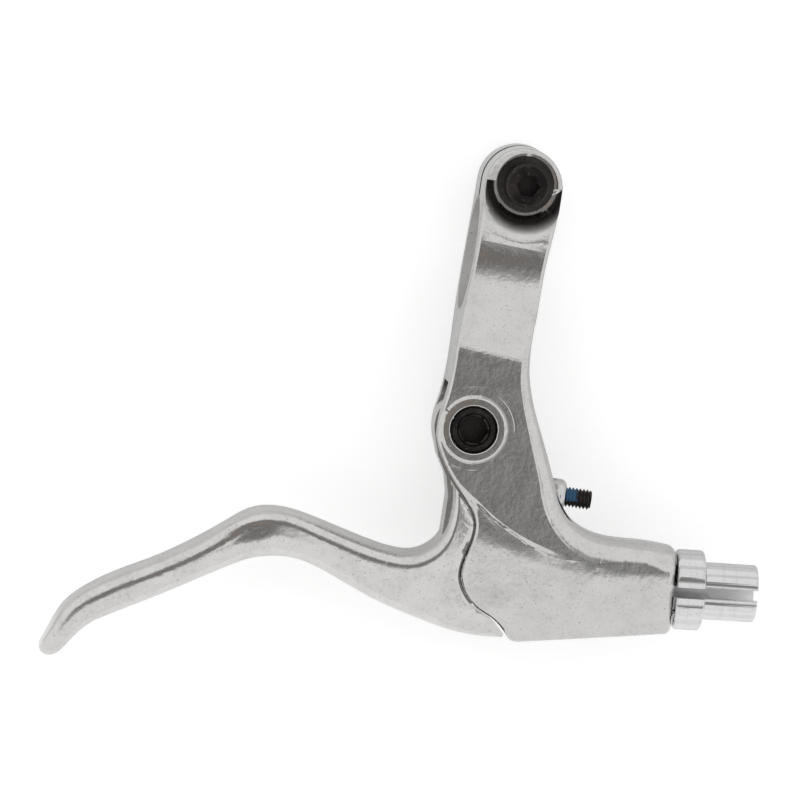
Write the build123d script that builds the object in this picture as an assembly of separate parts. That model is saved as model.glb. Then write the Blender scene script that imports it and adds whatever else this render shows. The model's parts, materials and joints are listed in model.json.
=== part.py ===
from build123d import *
import math
import os

# Bicycle brake lever for a straight handlebar, in millimetres.
# The origin is the centre of the handlebar clamp. X runs along the handlebar towards the cable
# adjuster, Y runs from the blade towards the clamp bolt, and Z is parallel to the blade's pivot.
# The bracket is the same above and below the plane Z = 0, apart from the cable slot and the nut.

# Handlebar clamp
BAR_RADIUS = 11.1
CLAMP_GRIP = 0.05
CLAMP_HALF_WIDTH = 7.0
CREST_HEIGHT = 14.0
CREST_RADIUS = 20.0
SLIT = 2.4
EAR_CENTRE = (0.7, 14.7)
EAR_RADIUS = 7.6
EAR_SLOPE = 13.8
ARM_SLOPE = 20.0
ARM_BLEND = 2.0

# Clamp bolt: M5 socket head screw with a washer in a spot-faced recess
BOLT_PLACE = (1.15, 15.2)
BOLT_RADIUS = 2.5
BOLT_HEAD_RADIUS = 4.25
BOLT_HEAD_HEIGHT = 5.0
BOLT_HEX = 4.0
BOLT_HEX_DEPTH = 2.8
BOLT_EDGE = 0.5
BOLT_LENGTH = 19.0
BOLT_HOLE_CLEARANCE = 0.25
THREAD_CLEARANCE = 0.05
WASHER_RADIUS = 5.5
WASHER_THICKNESS = 1.0
SEAT_HEIGHT = 7.8
RECESS_CLEARANCE = 0.6
RECESS_FLARE = 32.0

# Fork plates and blade pivot
PIVOT = (-1.7, -33.65)
PLATE_HEIGHT = 8.8
PLATE_TILT = 2.0
EDGE_ROUND = 0.8
FORK_ROUND = 7.1
PIVOT_BOSS_TOP = 5.97
PIVOT_BOSS_BASE = 6.84
PIVOT_BOSS_HEIGHT = 0.87
PIN_RADIUS = 3.5
PIN_CLEARANCE = 0.05
PIN_HEAD_RADIUS = 4.45
PIN_HEAD_HEIGHT = 2.4
PIN_HEAD_SUNK = 0.15
PIN_HEAD_CLEARANCE = 0.08
PIN_HEX = 5.0
PIN_HEX_DEPTH = 4.2
PIN_COUNTERSINK = 3.3
PIN_COUNTERSINK_DEPTH = 0.7
PIN_EDGE = 0.35
PIN_END_SUNK = 0.3
PIN_THREAD_RADIUS = 2.5
NUT_ACROSS = 8.0
NUT_THICKNESS = 2.7
NUT_CLEARANCE = 0.1
BUSH_WALL = 1.0
BUSH_FLANGE = 0.5
BUSH_FLANGE_RADIUS = 6.2
BUSH_FLANGE_CLEARANCE = 0.2
BUSH_MIDDLE_GAP = 0.2

# Blade tongue between the plates
EYE_RADIUS = 7.35
TONGUE_HALF = 4.5
TONGUE_REACH = 34.6
TONGUE_END_CLEARANCE = 0.4
TONGUE_SIDE_CLEARANCE = 0.25
EYE_END_CLEARANCE = 0.05
EYE_ROUND_CLEARANCE = 0.85
BLADE_GAP = 0.4
BLADE_ROOT_START = -30.0
NIPPLE_RADIUS = 3.6
NIPPLE_PLACE = (3.4, -62.9)
NIPPLE_ROOF = 2.0
CABLE_SLOT = 2.2

# Cable boss and adjuster, along the cable's own line
CABLE_ANGLE = 4.7
BOSS_FACE = (42.53, -59.66)
BOSS_TOP = 7.9
BOSS_ROUND = 1.5
FRONT_CORNER = (14.0, -74.2)
THREAD_RADIUS = 5.0
THREAD_LENGTH = 14.0
CABLE_PASSAGE = 2.6
CABLE_PASSAGE_LENGTH = 35.0
RING_GAP = 0.3
RING_THICKNESS = 5.7
RING_RADIUS = 7.9
RING_EDGE = 0.9
RING_SCALLOPS = 12
RING_SCALLOP_RADIUS = 3.0
RING_SCALLOP_DEPTH = 0.35
HEAD_GAP = 0.25
HEAD_RADIUS = 5.65
HEAD_LENGTH = 10.4
HEAD_EDGE = 0.8
HEAD_FLUTES = 12
HEAD_FLUTE_RADIUS = 2.0
HEAD_FLUTE_DEPTH = 0.3
HOUSING_RADIUS = 3.0
HOUSING_DEPTH = 9.0
CABLE_HOLE_RADIUS = 1.2
ADJUSTER_SLOT = 2.1

# Reach screw: M4 set screw that the blade rests against
REACH_Y = -44.7
REACH_RADIUS = 2.0
REACH_OUTER_END = 24.0
REACH_STOP = 8.2
REACH_TIP_GAP = 0.2
REACH_HEX = 2.0
REACH_HEX_DEPTH = 2.2
REACH_EDGE = 0.35
REACH_WALL = 9.2
REACH_BOSS_RADIUS = 3.3
REACH_BOSS_START = 12.0
REACH_BOSS_END = 18.9
REACH_BOSS_EDGE = 1.3

# A length beyond every outline, for cutters
FAR = 120.0


def upper_cutter(origin, normal):
    """Everything above a sloping plane."""
    return Plane(origin=origin, z_dir=normal) * Box(
        2 * FAR, 2 * FAR, FAR, align=(Align.CENTER, Align.CENTER, Align.MIN)
    )


def cable_plane(distance):
    """The plane square to the cable's line, so many millimetres out of the boss face."""
    direction = Vector(1, 0, 0).rotate(Axis.Z, CABLE_ANGLE)
    origin = Vector(*BOSS_FACE, 0) + direction * distance
    return Plane(origin=origin, x_dir=(0, 0, 1), z_dir=direction)


def along_cable(distance, shape):
    """Place a shape, made along Z, on the cable's line."""
    return cable_plane(distance) * shape


def rod(radius, low, high):
    """A round bar on the local Z axis."""
    return Pos(0, 0, low) * Cylinder(radius, high - low, align=(Align.CENTER, Align.CENTER, Align.MIN))


def hexagon(across, low, high):
    """A hexagonal bar on the local Z axis."""
    return Pos(0, 0, low) * extrude(RegularPolygon(across / 2, 6, major_radius=False), high - low)


def plate_top(x):
    """Height of the plates' tilted top at a place along X."""
    return PLATE_HEIGHT - (x + CLAMP_HALF_WIDTH) * math.tan(math.radians(PLATE_TILT))


def arm_front():
    """Side view: the end of the crest's arc, and the place along Y where the arm reaches the plates."""
    slope = math.radians(ARM_SLOPE)
    top_y = -CREST_RADIUS * math.sin(slope)
    top_z = CREST_HEIGHT - CREST_RADIUS * (1 - math.cos(slope))
    return (top_y, top_z), top_y - (top_z - plate_top(0)) / math.tan(slope)


# The right side of the forging, from the clamp to the cable boss: place of the silhouette, and the
# radius of the rounded rim there, which grows from the arm to the boss
ARM_FOOT = arm_front()[1]
RIM = [
    ((CLAMP_HALF_WIDTH, max(-11.0, ARM_FOOT + 7.4)), 0.05),
    ((7.15, max(-16.0, ARM_FOOT + 2.4)), 1.1),
    ((7.7, -21.5), 1.9),
    ((9.7, -28.0), 2.2),
    ((12.3, -33.8), 2.6),
    ((15.7, -41.5), 3.1),
    ((19.6, -47.9), 4.0),
    ((24.0, -50.6), 4.8),
    ((30.0, -51.35), 5.0),
    ((37.0, -51.1), 5.0),
    ((46.0, -50.4), 5.0),
]
RIM_PROUD = 0.02
RIM_SPARE = 3.0


def along_outline(places, index):
    """Direction of an outline at one of its places."""
    before = Vector(*places[max(index - 1, 0)])
    after = Vector(*places[min(index + 1, len(places) - 1)])
    return (after - before).normalized()


def shifted(places, amounts):
    """Move each place of an outline to its right by its own amount, square to the outline."""
    moved = []
    for index, place in enumerate(places):
        along = along_outline(places, index)
        moved.append(Vector(*place) + Vector(along.Y, -along.X) * amounts[index])
    return moved


def rim_section(index):
    """What the rounded rim takes off, at one place: all that lies outside a quarter round."""
    place, radius = RIM[index]
    along = along_outline([spot for spot, _ in RIM], index)
    top = plate_top(place[0]) + RIM_PROUD
    cut = radius * (1 - math.sqrt(0.5))
    spare = 2 * RIM_SPARE
    high = CREST_HEIGHT + 2
    edges = [
        Line((-radius, high), (-radius, top)),
        ThreePointArc((-radius, top), (-cut, top - cut), (0, top - radius)),
        Line((0, top - radius), (0, -1)),
        Line((0, -1), (spare, -1)),
        Line((spare, -1), (spare, high)),
        Line((spare, high), (-radius, high)),
    ]
    outward = Vector(-along.Y, along.X, 0)
    plane = Plane(origin=(place[0], place[1], 0), x_dir=outward, z_dir=(along.X, along.Y, 0))
    return plane * make_face(edges)


def rim_cutter():
    """The rounded rim of the right side, lofted from place to place."""
    return loft([rim_section(index) for index in range(len(RIM))])


# The edge of the fork plates that faces the blade's root, from the pivot down to the front
GAP_LINE = [
    (-8.8, -33.65), (-6.9, -40.0), (-2.0, -46.5), (1.55, -51.8),
    (0.7, -58.3), (0.3, -63.0), (4.4, -68.4), (10.9, -72.7),
]


def gap_line(distance=0.0):
    """The gap's edge on the bracket, or so far from it on the blade's side."""
    points = shifted(GAP_LINE, [distance] * len(GAP_LINE))
    return Spline(*points, tangents=((0, -1), (0.7, -0.8)))


def blade_keep_off():
    """What the bracket and the gap take from the blade's root."""
    edge = gap_line(BLADE_GAP)
    start = edge @ 0
    end = edge @ 1
    around = Polyline(end, (end.X, -FAR), (FAR, -FAR), (FAR, start.Y), start)
    return make_face(edge + around)


def plan_face():
    """The forging seen along the pivot axis; its right side is cut by the rim afterwards."""
    left = EAR_CENTRE[0] - EAR_RADIUS
    right = EAR_CENTRE[0] + EAR_RADIUS
    ear_end = ThreePointArc(
        (left, EAR_CENTRE[1]), (EAR_CENTRE[0], EAR_CENTRE[1] + EAR_RADIUS), (right, EAR_CENTRE[1])
    )
    right_side = Spline(
        (right, EAR_CENTRE[1]),
        (CLAMP_HALF_WIDTH, 0),
        RIM[0][0],
        tangents=((0, -1), (0, -1)),
    )
    outside = shifted([place for place, _ in RIM], [-RIM_SPARE] * len(RIM))
    boss = Polyline(RIM[0][0], *outside[1:], (50.0, outside[-1].Y), (50.0, -66.85), FRONT_CORNER)
    corner = Spline(FRONT_CORNER, (12.2, -74.0), (10.9, -72.7), tangents=((-1, -0.2), (-0.7, 0.8)))
    left_side = Spline(
        (PIVOT[0] - FORK_ROUND, PIVOT[1]),
        (-8.2, -29.5),
        (-7.5, -15.0),
        (-CLAMP_HALF_WIDTH, 0),
        (left, EAR_CENTRE[1]),
        tangents=((0, 1), (0, 1)),
    )
    return make_face(ear_end + right_side + boss + corner + gap_line() + left_side)


def arm_profile():
    """Side view of the upper half: ears, crest of the ring and the slope down to the plates."""
    rear = math.radians(EAR_SLOPE)
    front_top = arm_front()[0]
    rear_top = (CREST_RADIUS * math.sin(rear), CREST_HEIGHT - CREST_RADIUS * (1 - math.cos(rear)))
    ear_reach = EAR_CENTRE[1] + 2 * EAR_RADIUS
    ear_low = rear_top[1] - (ear_reach - rear_top[0]) * math.tan(rear)
    arm_reach = front_top[0] - front_top[1] / math.tan(math.radians(ARM_SLOPE))
    crest = ThreePointArc(front_top, (0, CREST_HEIGHT), rear_top)
    rest = Polyline(rear_top, (ear_reach, ear_low), (ear_reach, 0), (arm_reach, 0), front_top)
    return Plane.YZ * make_face(crest + rest)


def top_form():
    """Upper surfaces of the forging: the arm's side view, and the plates' slightly tilted top."""
    arm = extrude(arm_profile(), FAR, both=True)
    plates = Box(2 * FAR, FAR, PLATE_HEIGHT + 2, align=(Align.CENTER, Align.MAX, Align.MIN))
    tilt = math.tan(math.radians(PLATE_TILT))
    plates -= upper_cutter((-CLAMP_HALF_WIDTH, 0, PLATE_HEIGHT), (tilt, 0, 1))
    return arm + plates


# Top of the front body, from the blade to the cable boss: place along X, place along Y where the
# crown begins, how far it lies below the fork plates there, and where the steeper facet begins
FRONT_TOP = [
    (-14.0, -52.0, 0.95, -70.6),
    (3.0, -53.0, 0.75, -68.6),
    (19.0, -56.0, 0.12, -66.5),
    (30.0, -56.3, -0.05, -65.1),
    (46.0, -55.2, -0.05, -63.0),
]
FRONT_BACK = -36.0
FRONT_LEAN = math.radians(3.0)
CROWN_ANGLE = math.radians(11.5)
FACET_ANGLE = math.radians(24.0)
CROWN_RADIUS = 21.0
FACET_RADIUS = 5.0


def bend(start, radius, before, after):
    """An arc of the profile that turns the fall from one angle to another, and its end."""

    def at(angle):
        forward = radius * (math.sin(angle) - math.sin(before))
        fall = radius * (math.cos(before) - math.cos(angle))
        return start[0] - forward, start[1] - fall

    return ThreePointArc(start, at((before + after) / 2), at(after)), at(after)


def falling(start, y, angle):
    """The place along Y, on a straight fall from a starting place."""
    return y, start[1] - (start[0] - y) * math.tan(angle)


def front_section(x, crown, drop, ridge):
    """What lies above the front body at one place: flat behind, crowned, then a steeper facet."""
    crown_start = (crown, plate_top(x) - drop)
    back = falling(crown_start, FRONT_BACK, FRONT_LEAN)
    crown_arc, crown_end = bend(crown_start, CROWN_RADIUS, FRONT_LEAN, CROWN_ANGLE)
    facet_start = falling(crown_end, ridge, CROWN_ANGLE)
    facet_arc, facet_end = bend(facet_start, FACET_RADIUS, CROWN_ANGLE, FACET_ANGLE)
    front = falling(facet_end, -FAR, FACET_ANGLE)
    high = CREST_HEIGHT + 3
    rest = Polyline(facet_end, front, (-FAR, high), (FRONT_BACK, high), back, crown_start)
    profile = crown_arc + Line(crown_end, facet_start) + facet_arc + rest
    return Plane(origin=(x, 0, 0), x_dir=(0, 1, 0), z_dir=(1, 0, 0)) * make_face(profile)


def crease_cutter():
    """The front body's top lies a little lower, behind a curved crease with a sloping face."""
    crease = Spline((-9.0, -42.0), (0.5, -47.9), (8.8, -52.9), (17.9, -56.1), (27.0, -55.4), (50.0, -53.0))
    around = Polyline((50.0, -53.0), (50.0, -FAR), (-40.0, -FAR), (-40.0, -42.0), (-9.0, -42.0))
    slope = Vector(0.6, 1.3, 1.0)
    low = Pos(0, 0, BOSS_TOP) * Pos(slope * -7) * make_face(crease + around)
    return extrude(low, 10 * slope.length, dir=slope) & loft([front_section(*place) for place in FRONT_TOP])


def boss_edges(body):
    """Edges round the boss's end face."""
    end_face = cable_plane(0)
    chosen = []
    for edge in body.edges():
        middle = edge @ 0.5
        if middle.Z > 1 and abs(end_face.to_local_coords(middle).Z) < 0.01:
            chosen.append(edge)
    return chosen


def outline_edges(body):
    """Top edges that lie on the plan's own outline: ears, left side, gap and front."""
    outline = plan_face().face().outer_wire()
    chosen = []
    for edge in body.edges():
        middle = edge @ 0.5
        level = abs(edge.tangent_at(0.5).Z) < 0.9
        if level and middle.Z > 2 and outline.distance_to(Vector(middle.X, middle.Y, 0)) < 0.01:
            chosen.append(edge)
    return chosen


def arm_foot_edges(body):
    """The hollow edge across the forging where the arm's slope meets the plates."""
    chosen = []
    for edge in body.edges():
        middle = edge @ 0.5
        across = abs(edge.tangent_at(0.5).X) > 0.8 and edge.length > CLAMP_HALF_WIDTH
        if across and abs(middle.Y - ARM_FOOT) < 2 and abs(middle.Z - plate_top(0)) < 1:
            chosen.append(edge)
    return chosen


def forged_half():
    """Upper half of the bracket before any machining."""
    body = extrude(plan_face(), CREST_HEIGHT + 1)
    body = body & top_form()
    body = fillet(arm_foot_edges(body), ARM_BLEND)
    body -= rim_cutter()
    body -= crease_cutter()
    body -= along_cable(0, rod(FAR / 4, 0, FAR))
    body = fillet(boss_edges(body), BOSS_ROUND)
    body = fillet(outline_edges(body), EDGE_ROUND)
    boss = rod(PIVOT_BOSS_BASE, 0, plate_top(PIVOT[0]))
    cone = Cone(
        PIVOT_BOSS_BASE, PIVOT_BOSS_TOP, PIVOT_BOSS_HEIGHT, align=(Align.CENTER, Align.CENTER, Align.MIN)
    )
    body += Pos(*PIVOT) * (boss + Pos(0, 0, plate_top(PIVOT[0])) * cone)
    return body


def tongue_outline():
    """The blade's tongue seen along the pivot axis, without the eye; its end is round the pivot."""
    points = [
        (-8.6, -36.4), (-7.4, -40.0), (-5.2, -43.8), (-4.3, -47.5), (-4.3, -60.0), (-2.0, -70.0),
        (REACH_STOP, -70.0), (REACH_STOP, -42.5), (5.0, -35.0), (2.0, -34.0), (-6.0, -34.0),
    ]
    return make_face(Polyline(*points, close=True)) & (Pos(*PIVOT) * Circle(TONGUE_REACH))


def cavity_half():
    """Half of the distance between the fork plates."""
    return TONGUE_HALF + TONGUE_SIDE_CLEARANCE


def pivot_boss_top():
    """Height of the raised ring round the pivot bolt's head."""
    return plate_top(PIVOT[0]) + PIVOT_BOSS_HEIGHT


def cavity():
    """Space between the fork plates for the eye, the tongue and the cable."""
    edge = EYE_RADIUS + EYE_ROUND_CLEARANCE
    round_room = Pos(*PIVOT) * Circle(edge)
    points = [
        (-30.0, PIVOT[1] + edge), (PIVOT[0], PIVOT[1] + edge), (PIVOT[0] + edge, PIVOT[1]),
        (REACH_WALL, -41.5), (REACH_WALL, -70.0), (-30.0, -70.0),
    ]
    swing = Pos(*PIVOT) * Circle(TONGUE_REACH + TONGUE_END_CLEARANCE)
    room = round_room + (make_face(Polyline(*points, close=True)) & swing)
    return extrude(room, cavity_half(), both=True)


def bolt_recess():
    """Spot face for the washer, flared where it cuts into the rising ring."""
    radius = WASHER_RADIUS + RECESS_CLEARANCE
    depth = CREST_HEIGHT + 2 - SEAT_HEIGHT
    flare = Cone(
        radius, radius + depth * math.tan(math.radians(RECESS_FLARE)), depth,
        align=(Align.CENTER, Align.CENTER, Align.MIN),
    )
    front = Box(4 * EAR_RADIUS, 4 * EAR_RADIUS, 2 * depth, align=(Align.CENTER, Align.MAX, Align.MIN))
    straight = rod(radius, 0, depth)
    return Pos(*BOLT_PLACE, SEAT_HEIGHT) * (straight + (flare & front))


def along_reach(shape):
    """Place a shape, made along Z, on the reach screw's line."""
    return Plane(origin=(0, REACH_Y, 0), x_dir=(0, 0, 1), z_dir=(1, 0, 0)) * shape


def reach_boss():
    """Round boss that carries the reach screw out of the forging's side."""
    boss = rod(REACH_BOSS_RADIUS, REACH_BOSS_START, REACH_BOSS_END)
    return along_reach(fillet(boss.edges().sort_by(Axis.Z)[-1], REACH_BOSS_EDGE))


def clamp_cuts():
    """Handlebar bore, slit between the ears, and the clamp bolt's recess and hole."""
    bar = Rot(0, 90, 0) * rod(BAR_RADIUS + CLAMP_GRIP, -FAR, FAR)
    slit = Box(FAR, FAR, SLIT, align=(Align.CENTER, Align.MIN, Align.CENTER))
    hole = rod(BOLT_RADIUS + BOLT_HOLE_CLEARANCE, 0, FAR) + rod(BOLT_RADIUS + THREAD_CLEARANCE, -FAR, 0)
    return [bar, slit, bolt_recess(), Pos(*BOLT_PLACE) * hole]


def pivot_cuts():
    """Holes for the pivot bolt and its head, and the pocket for the nut."""
    top = pivot_boss_top()
    pin = rod(PIN_RADIUS + PIN_CLEARANCE, -cavity_half(), FAR)
    head = rod(PIN_HEAD_RADIUS + PIN_HEAD_CLEARANCE, top - PIN_HEAD_SUNK - PIN_HEAD_HEIGHT, FAR)
    thread = rod(PIN_THREAD_RADIUS + THREAD_CLEARANCE, -FAR, 0)
    nut = hexagon(NUT_ACROSS + 2 * NUT_CLEARANCE, -FAR, PIN_END_SUNK + NUT_THICKNESS - top)
    return [Pos(*PIVOT) * cutter for cutter in (pin, head, thread, nut)]


def cable_cuts():
    """Threaded hole, passage and underside slot that the cable is laid in through."""
    thread = along_cable(0, rod(THREAD_RADIUS + THREAD_CLEARANCE, -THREAD_LENGTH, 1))
    passage = along_cable(0, rod(CABLE_PASSAGE, -CABLE_PASSAGE_LENGTH, 0))
    slot = Box(CABLE_PASSAGE_LENGTH, CABLE_SLOT, CREST_HEIGHT, align=(Align.MAX, Align.CENTER, Align.MAX))
    return [thread, passage, Pos(*BOSS_FACE) * Rot(0, 0, CABLE_ANGLE) * slot]


def make_bracket():
    """One forging: ring, ears, arm, fork plates, cable boss and reach screw boss."""
    half = forged_half()
    body = half + mirror(half, Plane.XY) + reach_boss()
    body -= cavity()
    body -= along_reach(rod(REACH_RADIUS + THREAD_CLEARANCE, 0, FAR))
    for cutter in clamp_cuts() + pivot_cuts() + cable_cuts():
        body -= cutter
    return body


# Blade stations from the tip to the root: place on the back, place on the finger side, half of the
# height along the pivot, radius of the crest, radius of the finger side, and slope between the two
STATIONS = [
    ((-78.9, -89.3), (-77.6, -90.2), 1.6, 0.4, 0.8, 8.0),
    ((-78.75, -86.6), (-74.6, -88.6), 4.0, 1.2, 2.2, 10.0),
    ((-77.5, -83.3), (-72.6, -85.7), 5.0, 1.8, 2.9, 12.0),
    ((-75.4, -79.0), (-70.1, -82.9), 5.6, 2.2, 3.5, 12.0),
    ((-70.8, -74.7), (-67.2, -80.9), 6.0, 2.4, 3.9, 12.0),
    ((-60.0, -68.3), (-56.0, -74.4), 6.3, 2.5, 4.1, 12.0),
    ((-51.0, -62.4), (-46.5, -68.6), 6.5, 2.5, 4.3, 9.0),
    ((-46.0, -58.5), (-41.2, -65.7), 6.6, 2.4, 4.6, 5.0),
    ((-41.6, -55.5), (-38.6, -64.8), 6.8, 2.2, 4.8, 3.0),
    ((-36.0, -54.6), (-36.0, -64.3), 6.9, 2.0, 4.8, 7.0),
    ((-30.5, -55.4), (-32.2, -64.2), 7.0, 2.2, 4.8, 11.0),
    ((-24.5, -56.9), (-27.1, -65.4), 7.2, 2.4, 4.8, 12.5),
    ((-17.5, -58.6), (-20.4, -68.1), 7.3, 2.5, 5.0, 12.5),
    ((-12.5, -59.3), (-13.9, -70.5), 7.3, 2.4, 5.0, 12.5),
    ((-8.6, -58.7), (-6.5, -72.5), 7.3, 2.4, 5.0, 12.5),
    ((-5.4, -56.1), (1.5, -74.1), 7.3, 2.4, 5.0, 10.0),
    ((-4.0, -52.3), (10.8, -73.9), 7.3, 2.3, 5.0, 7.0),
    ((-3.9, -48.2), (19.0, -71.0), 7.3, 2.0, 5.0, 4.0),
    ((-5.0, -43.8), (24.0, -64.0), 7.3, 1.6, 5.0, 4.0),
    ((-6.4, -41.3), (26.0, -57.0), 7.3, 1.2, 5.0, 4.0),
]
BACK_DRAFT = 8.0


def on_arc(centre, radius, angle):
    """A point of a circle, with the angle measured from the finger side upwards."""
    return centre[0] + radius * math.cos(angle), centre[1] + radius * math.sin(angle)


def blade_section(back, front, half, crest_round, front_round, slope):
    """A rounded section: drafted back, round crest, gentle slope and full finger side."""
    span = Vector(front[0] - back[0], front[1] - back[1], 0)
    width = span.length
    draft = math.radians(BACK_DRAFT)
    fall = math.radians(slope)
    quarter = math.pi / 2
    rise = half - crest_round + crest_round * math.sin(draft)
    crest = (crest_round * math.cos(draft) + rise * math.tan(draft), half - crest_round)
    wall_top = on_arc(crest, crest_round, math.pi - draft)
    crest_end = on_arc(crest, crest_round, quarter - fall)
    reach = width - front_round + front_round * math.sin(fall)
    round_start = (reach, crest_end[1] - (reach - crest_end[0]) * math.tan(fall))
    finger = (width - front_round, round_start[1] - front_round * math.cos(fall))
    upper = [
        Line((0, 0), wall_top),
        ThreePointArc(wall_top, on_arc(crest, crest_round, quarter), crest_end),
        Line(crest_end, round_start),
        ThreePointArc(round_start, on_arc(finger, front_round, (quarter - fall) / 2), (width, finger[1])),
        Line((width, finger[1]), (width, 0)),
    ]
    edges = []
    for edge in upper:
        edges.append(edge)
        edges.append(mirror(edge, Plane.XZ))
    plane = Plane(origin=(back[0], back[1], 0), x_dir=span, z_dir=(span.Y, -span.X, 0))
    return plane * make_face(edges)


# Facet on the front of the blade's root, in line with the bracket's: ridge line and angle
ROOT_FACET = ((5.1, -68.9, 5.45), (41.1, -64.2, 6.0), 26.0)


def facet_cutter(start, end, angle):
    """Everything above a facet that falls towards the front from a ridge line."""
    ridge = (Vector(*end) - Vector(*start)).normalized()
    forward = Vector(ridge.Y, -ridge.X, 0).normalized()
    tilt = math.radians(angle)
    downhill = forward * math.cos(tilt) - Vector(0, 0, math.sin(tilt))
    return upper_cutter(start, downhill.cross(ridge))


def make_blade():
    """Finger blade, root and tongue, forged in one piece."""
    blade = loft([blade_section(*station) for station in STATIONS])
    root = Pos(BLADE_ROOT_START, 0, 0) * Box(FAR, 2 * FAR, 2 * FAR, align=(Align.MIN, Align.CENTER, Align.CENTER))
    facet = facet_cutter(*ROOT_FACET) & root
    blade -= facet
    blade -= mirror(facet, Plane.XY)
    blade -= extrude(blade_keep_off(), CREST_HEIGHT, both=True)
    blade += extrude(tongue_outline(), TONGUE_HALF, both=True)
    eye_half = cavity_half() - EYE_END_CLEARANCE - BUSH_FLANGE
    ring = rod(EYE_RADIUS, -TONGUE_HALF, TONGUE_HALF)
    ring -= rod(BUSH_FLANGE_RADIUS + BUSH_FLANGE_CLEARANCE, eye_half, FAR)
    ring -= rod(BUSH_FLANGE_RADIUS + BUSH_FLANGE_CLEARANCE, -FAR, -eye_half)
    blade -= Pos(*PIVOT) * rod(EYE_RADIUS, -FAR, FAR)
    blade += Pos(*PIVOT) * ring
    blade -= Pos(*PIVOT) * rod(PIN_RADIUS + PIN_CLEARANCE + BUSH_WALL, -FAR, FAR)
    blade -= Pos(*NIPPLE_PLACE) * rod(NIPPLE_RADIUS, -FAR, NIPPLE_ROOF)
    run = Box(FAR, CABLE_SLOT, FAR, align=(Align.MIN, Align.CENTER, Align.MAX))
    blade -= Pos(*NIPPLE_PLACE, CABLE_SLOT / 2) * Rot(0, 0, CABLE_ANGLE) * run
    return blade


def make_bush(side):
    """Flanged bush, pressed into one side of the blade's eye."""
    inner = PIN_RADIUS + PIN_CLEARANCE
    outer = inner + BUSH_WALL
    end = cavity_half() - EYE_END_CLEARANCE
    bush = rod(outer, BUSH_MIDDLE_GAP, end) + rod(BUSH_FLANGE_RADIUS, end - BUSH_FLANGE, end)
    bush -= rod(inner, 0, FAR)
    if side < 0:
        bush = mirror(bush, Plane.XY)
    return Pos(*PIVOT) * bush


def make_pivot_bolt():
    """Shouldered pin with a round head and a countersunk hexagon socket."""
    head_top = pivot_boss_top() - PIN_HEAD_SUNK
    head_low = head_top - PIN_HEAD_HEIGHT
    bolt = chamfer(rod(PIN_HEAD_RADIUS, head_low, head_top).edges().sort_by(Axis.Z)[-1], PIN_EDGE)
    bolt += rod(PIN_RADIUS, -cavity_half(), head_low)
    bolt += rod(PIN_THREAD_RADIUS, PIN_END_SUNK - pivot_boss_top(), -cavity_half())
    bolt -= hexagon(PIN_HEX, head_top - PIN_HEX_DEPTH, head_top)
    sink = Cone(
        PIN_HEX / math.sqrt(3), PIN_COUNTERSINK, PIN_COUNTERSINK_DEPTH,
        align=(Align.CENTER, Align.CENTER, Align.MAX),
    )
    bolt -= Pos(0, 0, head_top) * sink
    return Pos(*PIVOT) * bolt


def make_pivot_nut():
    """Thin hexagon nut in the pocket of the lower plate."""
    low = PIN_END_SUNK - pivot_boss_top()
    nut = hexagon(NUT_ACROSS, low, low + NUT_THICKNESS)
    nut -= rod(PIN_THREAD_RADIUS + THREAD_CLEARANCE, low - 1, 0)
    return Pos(*PIVOT) * nut


def make_clamp_washer():
    """Plain washer under the clamp bolt's head."""
    washer = rod(WASHER_RADIUS, SEAT_HEIGHT, SEAT_HEIGHT + WASHER_THICKNESS)
    washer -= rod(BOLT_RADIUS + BOLT_HOLE_CLEARANCE, 0, FAR)
    return Pos(*BOLT_PLACE) * washer


def make_clamp_bolt():
    """Socket head screw, through the upper ear and threaded into the lower one."""
    low = SEAT_HEIGHT + WASHER_THICKNESS
    high = low + BOLT_HEAD_HEIGHT
    head = chamfer(rod(BOLT_HEAD_RADIUS, low, high).edges().sort_by(Axis.Z)[-1], BOLT_EDGE)
    bolt = head + rod(BOLT_RADIUS, low - BOLT_LENGTH, low)
    bolt -= hexagon(BOLT_HEX, high - BOLT_HEX_DEPTH, high)
    return Pos(*BOLT_PLACE) * bolt


def make_reach_screw():
    """Set screw with a hexagon socket in its outer end."""
    screw = rod(REACH_RADIUS, REACH_STOP + REACH_TIP_GAP, REACH_OUTER_END)
    rims = screw.edges().group_by(Axis.Z)
    screw = chamfer(rims[0] + rims[-1], REACH_EDGE)
    screw -= hexagon(REACH_HEX, REACH_OUTER_END - REACH_HEX_DEPTH, REACH_OUTER_END)
    return along_reach(screw)


def fluted(body, radius, count, cutter_radius, depth):
    """Cut shallow grooves along a round body, evenly spaced, with none at the slot."""
    for index in range(count):
        angle = (index + 0.5) * 360 / count
        place = Rot(0, 0, angle) * Pos(radius + cutter_radius - depth, 0, 0)
        body -= place * rod(cutter_radius, -FAR, FAR)
    return body


def adjuster_slot():
    """The slot that lets the cable out sideways, facing the upper side."""
    return Box(FAR, ADJUSTER_SLOT, 2 * FAR, align=(Align.MIN, Align.CENTER, Align.CENTER))


def make_lock_ring():
    """Scalloped and slotted ring, screwed against the boss."""
    ring = rod(RING_RADIUS, 0, RING_THICKNESS)
    rims = ring.edges().group_by(Axis.Z)
    ring = fillet(rims[0] + rims[-1], RING_EDGE)
    ring = fluted(ring, RING_RADIUS, RING_SCALLOPS, RING_SCALLOP_RADIUS, RING_SCALLOP_DEPTH)
    ring -= rod(THREAD_RADIUS + THREAD_CLEARANCE, -1, FAR)
    ring -= adjuster_slot()
    return along_cable(RING_GAP, ring)


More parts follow.
